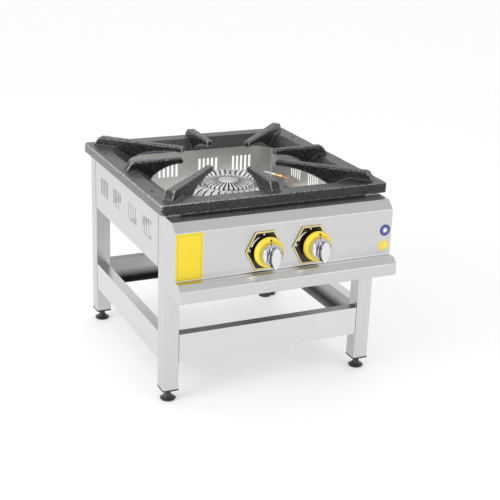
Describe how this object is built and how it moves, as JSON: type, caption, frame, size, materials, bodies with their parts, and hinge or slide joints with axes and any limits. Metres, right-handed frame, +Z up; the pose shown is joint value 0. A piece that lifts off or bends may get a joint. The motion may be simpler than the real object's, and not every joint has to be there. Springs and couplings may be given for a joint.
{
  "type": "stock pot range",
  "caption": "Low floor-standing gas stock pot range: square leg frame, cast iron top with radial pot fingers over a double ring burner, folded control box with push-and-turn knobs.",
  "frame": {"origin": "on the floor, under the middle of the object's overall box", "axes": "+Z up, the knob side faces -Y, +X to the right seen from the front"},
  "size_m": [0.6, 0.7164, 0.536],
  "materials": {
    "stainless": "brushed stainless sheet",
    "cast_iron": "dark grey enamel on rough casting",
    "burner_cast": "aluminium-coloured heat paint",
    "black_plastic": "moulded",
    "yellow_plastic": "moulded, glossy",
    "knob_chrome": "bright plated",
    "bezel_print": "gloss black with a yellow border",
    "zinc_steel": "zinc plated",
    "black_steel": "black",
    "brass": "machined",
    "copper": "drawn copper tube"
  },
  "bodies": {
    "frame": {"apron_left": "stainless", "apron_rear": "stainless", "apron_right": "stainless", "box_end_left": "stainless", "box_end_right": "stainless", "bulkhead": "stainless", "burner_body": "burner_cast", "burner_bolts": "zinc_steel", "burner_carrier_front": "stainless", "burner_carrier_rear": "stainless", "feed_pipe_left": "zinc_steel", "feed_pipe_right": "zinc_steel", "front_panel": "stainless", "gas_inlet": "black_steel", "gas_tap_left": "brass", "gas_tap_right": "brass", "injector_left": "brass", "injector_right": "brass", "inner_burner_body": "burner_cast", "inner_mixing_tube": "burner_cast", "knob_bezel_left": "bezel_print", "knob_bezel_right": "bezel_print", "leg_cap_front_left": "black_plastic", "leg_cap_front_right": "black_plastic", "leg_cap_rear_left": "black_plastic", "leg_cap_rear_right": "black_plastic", "leg_front_left": "stainless", "leg_front_right": "stainless", "leg_rear_left": "stainless", "leg_rear_right": "stainless", "lower_rail_front": "stainless", "lower_rail_left": "stainless", "lower_rail_rear": "stainless", "lower_rail_right": "stainless", "manifold": "zinc_steel", "manifold_bracket_left": "zinc_steel", "manifold_bracket_right": "zinc_steel", "outer_mixing_tube": "burner_cast", "safety_magnet": "brass", "thermocouple": "brass", "thermocouple_bracket": "zinc_steel", "thermocouple_lead": "copper"},
    "cast_top": {"cast_top": "cast_iron"},
    "outer_ring": {"outer_ring_cap": "burner_cast"},
    "inner_cap": {"inner_burner_cap": "burner_cast"},
    "foot_front_left": {"foot_front_left": "black_plastic"},
    "foot_front_right": {"foot_front_right": "black_plastic"},
    "foot_rear_left": {"foot_rear_left": "black_plastic"},
    "foot_rear_right": {"foot_rear_right": "black_plastic"},
    "tap_plug_left": {"tap_plug_left": "brass"},
    "knob_left": {"tap_stem_left": "zinc_steel", "knob_skirt_left": "yellow_plastic", "knob_grip_left": "knob_chrome"},
    "tap_plug_right": {"tap_plug_right": "brass"},
    "knob_right": {"tap_stem_right": "zinc_steel", "knob_skirt_right": "yellow_plastic", "knob_grip_right": "knob_chrome"}
  },
  "joints": [
    {"name": "cast_top_lift", "type": "slide", "parent": "frame", "child": "cast_top", "axis": [0, 0, 1], "range_m": [0, 0.15]},
    {"name": "outer_ring_lift", "type": "slide", "parent": "frame", "child": "outer_ring", "axis": [0, 0, 1], "range_m": [0, 0.045]},
    {"name": "inner_cap_lift", "type": "slide", "parent": "frame", "child": "inner_cap", "axis": [0, 0, 1], "range_m": [0, 0.06]},
    {"name": "foot_front_left_screw", "type": "slide", "parent": "frame", "child": "foot_front_left", "axis": [0, 0, -1], "range_m": [0, 0.012]},
    {"name": "foot_front_right_screw", "type": "slide", "parent": "frame", "child": "foot_front_right", "axis": [0, 0, -1], "range_m": [0, 0.012]},
    {"name": "foot_rear_left_screw", "type": "slide", "parent": "frame", "child": "foot_rear_left", "axis": [0, 0, -1], "range_m": [0, 0.012]},
    {"name": "foot_rear_right_screw", "type": "slide", "parent": "frame", "child": "foot_rear_right", "axis": [0, 0, -1], "range_m": [0, 0.012]},
    {"name": "knob_left_turn", "type": "hinge", "parent": "frame", "child": "tap_plug_left", "pos_m": [-0.058, -0.29875, 0.3965], "axis": [0, -1, 0], "range_deg": [0, 180]},
    {"name": "knob_left_push", "type": "slide", "parent": "tap_plug_left", "child": "knob_left", "axis": [0, 1, 0], "range_m": [0, 0.0035], "stiffness_N_per_m": 2500},
    {"name": "knob_right_turn", "type": "hinge", "parent": "frame", "child": "tap_plug_right", "pos_m": [0.071, -0.29875, 0.3965], "axis": [0, -1, 0], "range_deg": [0, 180]},
    {"name": "knob_right_push", "type": "slide", "parent": "tap_plug_right", "child": "knob_right", "axis": [0, 1, 0], "range_m": [0, 0.0035], "stiffness_N_per_m": 2500}
  ]
}
